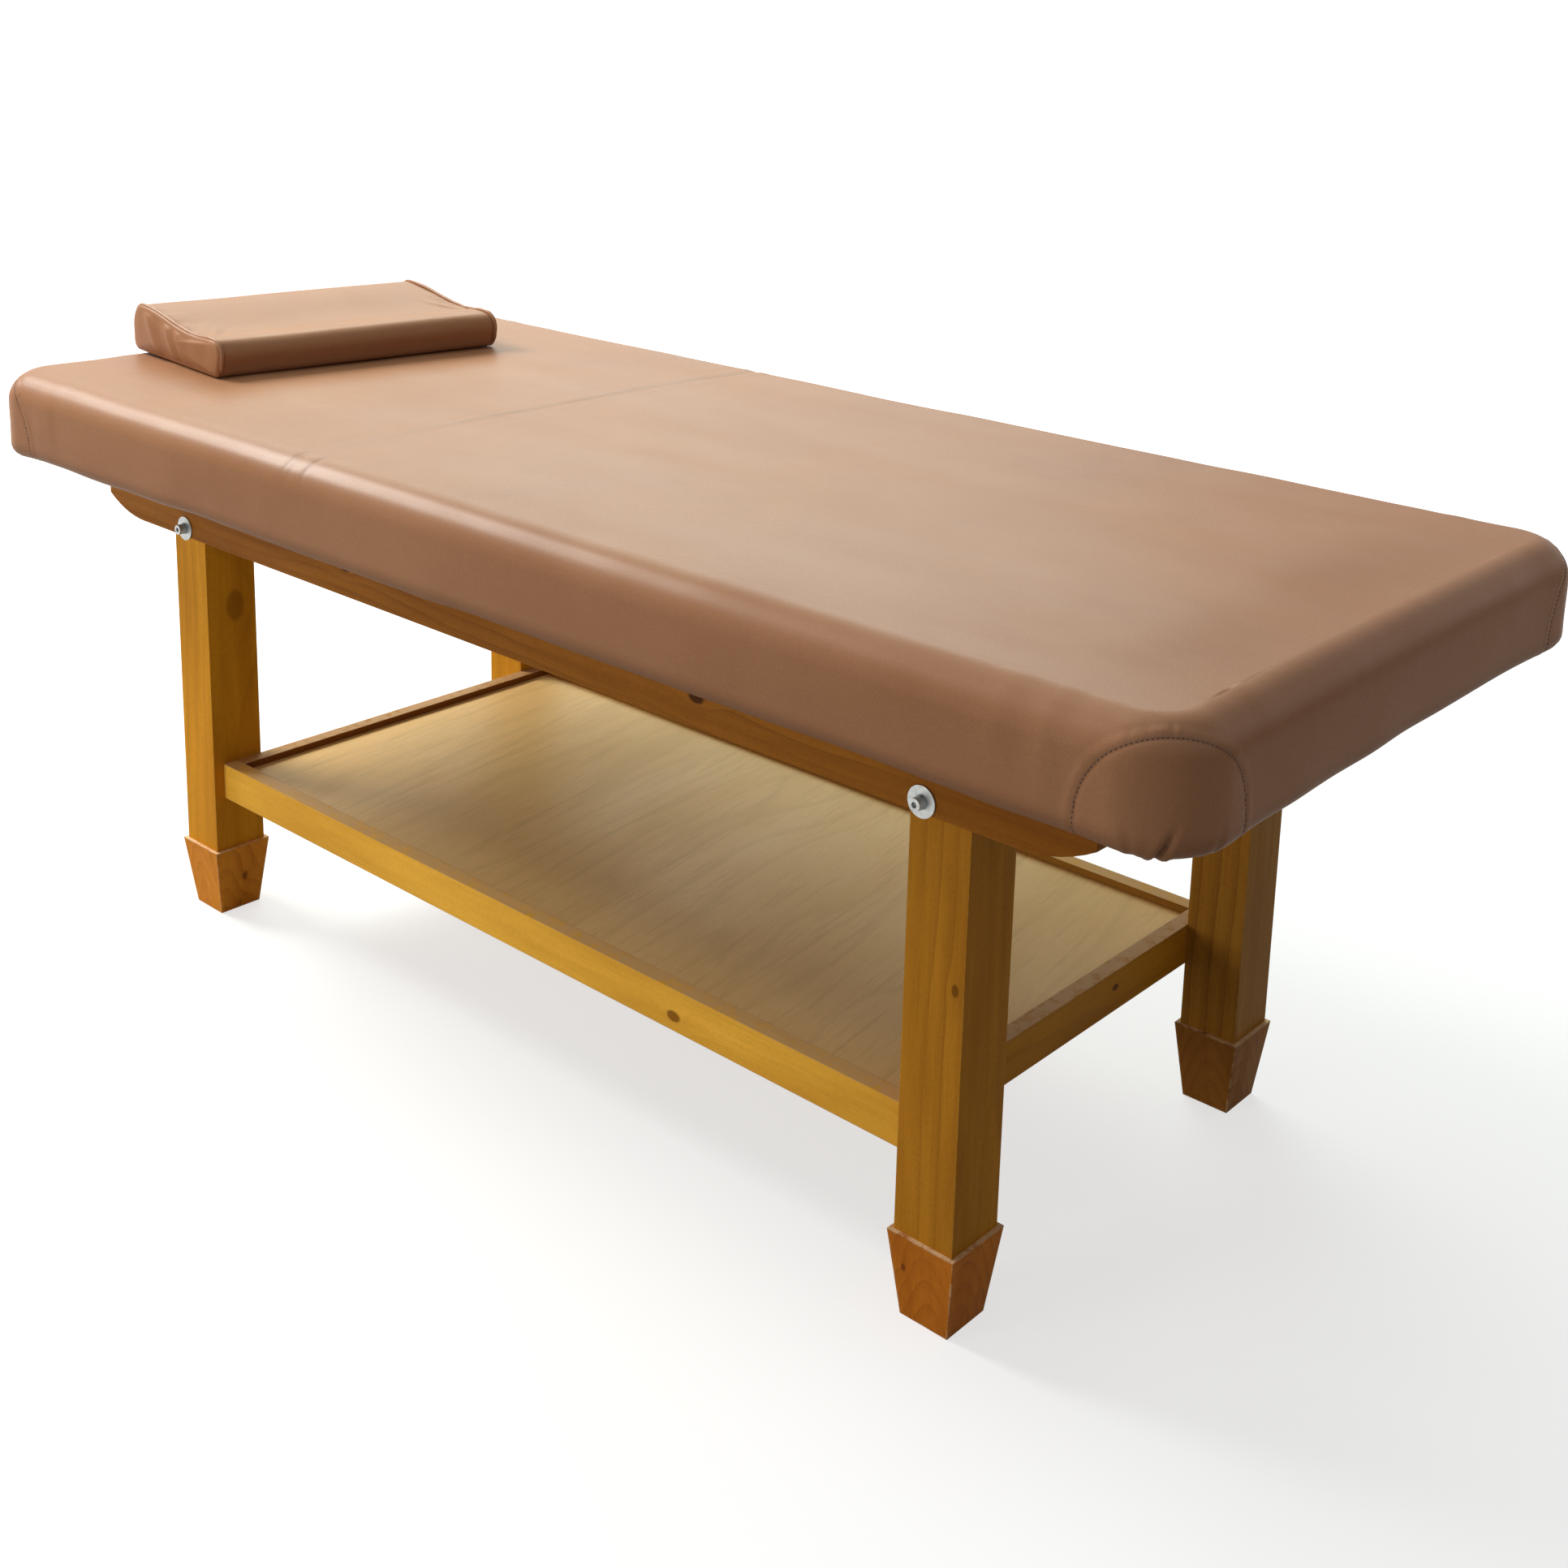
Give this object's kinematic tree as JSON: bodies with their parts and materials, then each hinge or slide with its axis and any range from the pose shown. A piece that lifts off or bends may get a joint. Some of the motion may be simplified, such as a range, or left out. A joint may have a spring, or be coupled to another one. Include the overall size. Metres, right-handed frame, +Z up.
{
  "type": "massage bed",
  "caption": "Wooden massage bed with a padded leatherette top, a backrest that lifts, a storage shelf between tapered-foot legs, and a loose contoured pillow.",
  "frame": {"origin": "on the floor under the middle of the bed's outline", "axes": "+X along the bed towards the foot end, +Y towards the left side of a person lying face up, +Z up"},
  "size_m": [1.9, 0.82, 0.8076],
  "materials": {
    "pine_leg": "satin",
    "pine_boot": "satin",
    "pine_rail": "satin",
    "pine_shelf": "satin",
    "plywood": "matte",
    "beech": "matte",
    "zinc": "satin",
    "steel": "satin",
    "leatherette": "satin",
    "foam": "matte"
  },
  "bodies": {
    "bed_frame": {"leg_head_right": "pine_leg", "leg_head_left": "pine_leg", "leg_foot_right": "pine_leg", "leg_foot_left": "pine_leg", "boot_head_right": "pine_boot", "boot_head_left": "pine_boot", "boot_foot_right": "pine_boot", "boot_foot_left": "pine_boot", "boot_screws": "zinc", "side_rail_right": "pine_rail", "side_rail_left": "pine_rail", "leg_rail_head": "pine_rail", "leg_rail_foot": "pine_rail", "end_rail_head": "pine_rail", "end_rail_foot": "pine_rail", "hinge_rail": "pine_rail", "seat_bearer": "pine_rail", "frame_dowels": "beech", "frame_bolts": "zinc", "wide_washers": "zinc", "spring_washers": "zinc", "barrel_nuts": "zinc", "shelf_rail_right": "pine_shelf", "shelf_rail_left": "pine_shelf", "shelf_rail_head": "pine_shelf", "shelf_rail_foot": "pine_shelf", "shelf_panel": "plywood", "shelf_cleats": "pine_shelf", "shelf_bearer": "pine_shelf", "shelf_screws": "zinc", "seat_board": "plywood", "seat_board_screws": "zinc", "hinge_leaves_fixed": "zinc", "hinge_pins": "steel", "hinge_screws_fixed": "zinc", "rack_right": "pine_rail", "rack_left": "pine_rail", "seat_foam": "foam", "fold_foam": "foam", "seat_cover": "leatherette", "fold_cover": "leatherette"},
    "backrest": {"backrest_board": "plywood", "hinge_leaves_moving": "zinc", "hinge_screws_moving": "zinc", "batten_right": "pine_rail", "batten_left": "pine_rail", "batten_screws": "zinc", "prop_rivets": "steel", "backrest_foam": "foam", "backrest_cover": "leatherette"},
    "prop": {"prop_bar_right": "steel", "prop_bar_left": "steel", "prop_rod": "steel"},
    "pillow": {"pillow_foam": "foam", "pillow_cover": "leatherette", "pillow_piping": "leatherette"}
  },
  "joints": [
    {"name": "backrest_tilt", "type": "hinge", "parent": "bed_frame", "child": "backrest", "pos_m": [-0.247, 0, 0.616], "axis": [0, 1, 0], "range_deg": [0, 60], "deforming": ["fold_cover", "fold_foam"]},
    {"name": "prop_swing", "type": "hinge", "parent": "backrest", "child": "prop", "pos_m": [-0.417, 0, 0.601], "axis": [0, 1, 0], "range_deg": [-120, 0]},
    {"name": "pillow_lift", "type": "slide", "parent": "backrest", "child": "pillow", "axis": [0, 0, 1], "range_m": [0, 0.25]}
  ],
  "couplings": [
    {"joint": "prop_swing", "follows": "backrest_tilt", "ratio": -2}
  ]
}
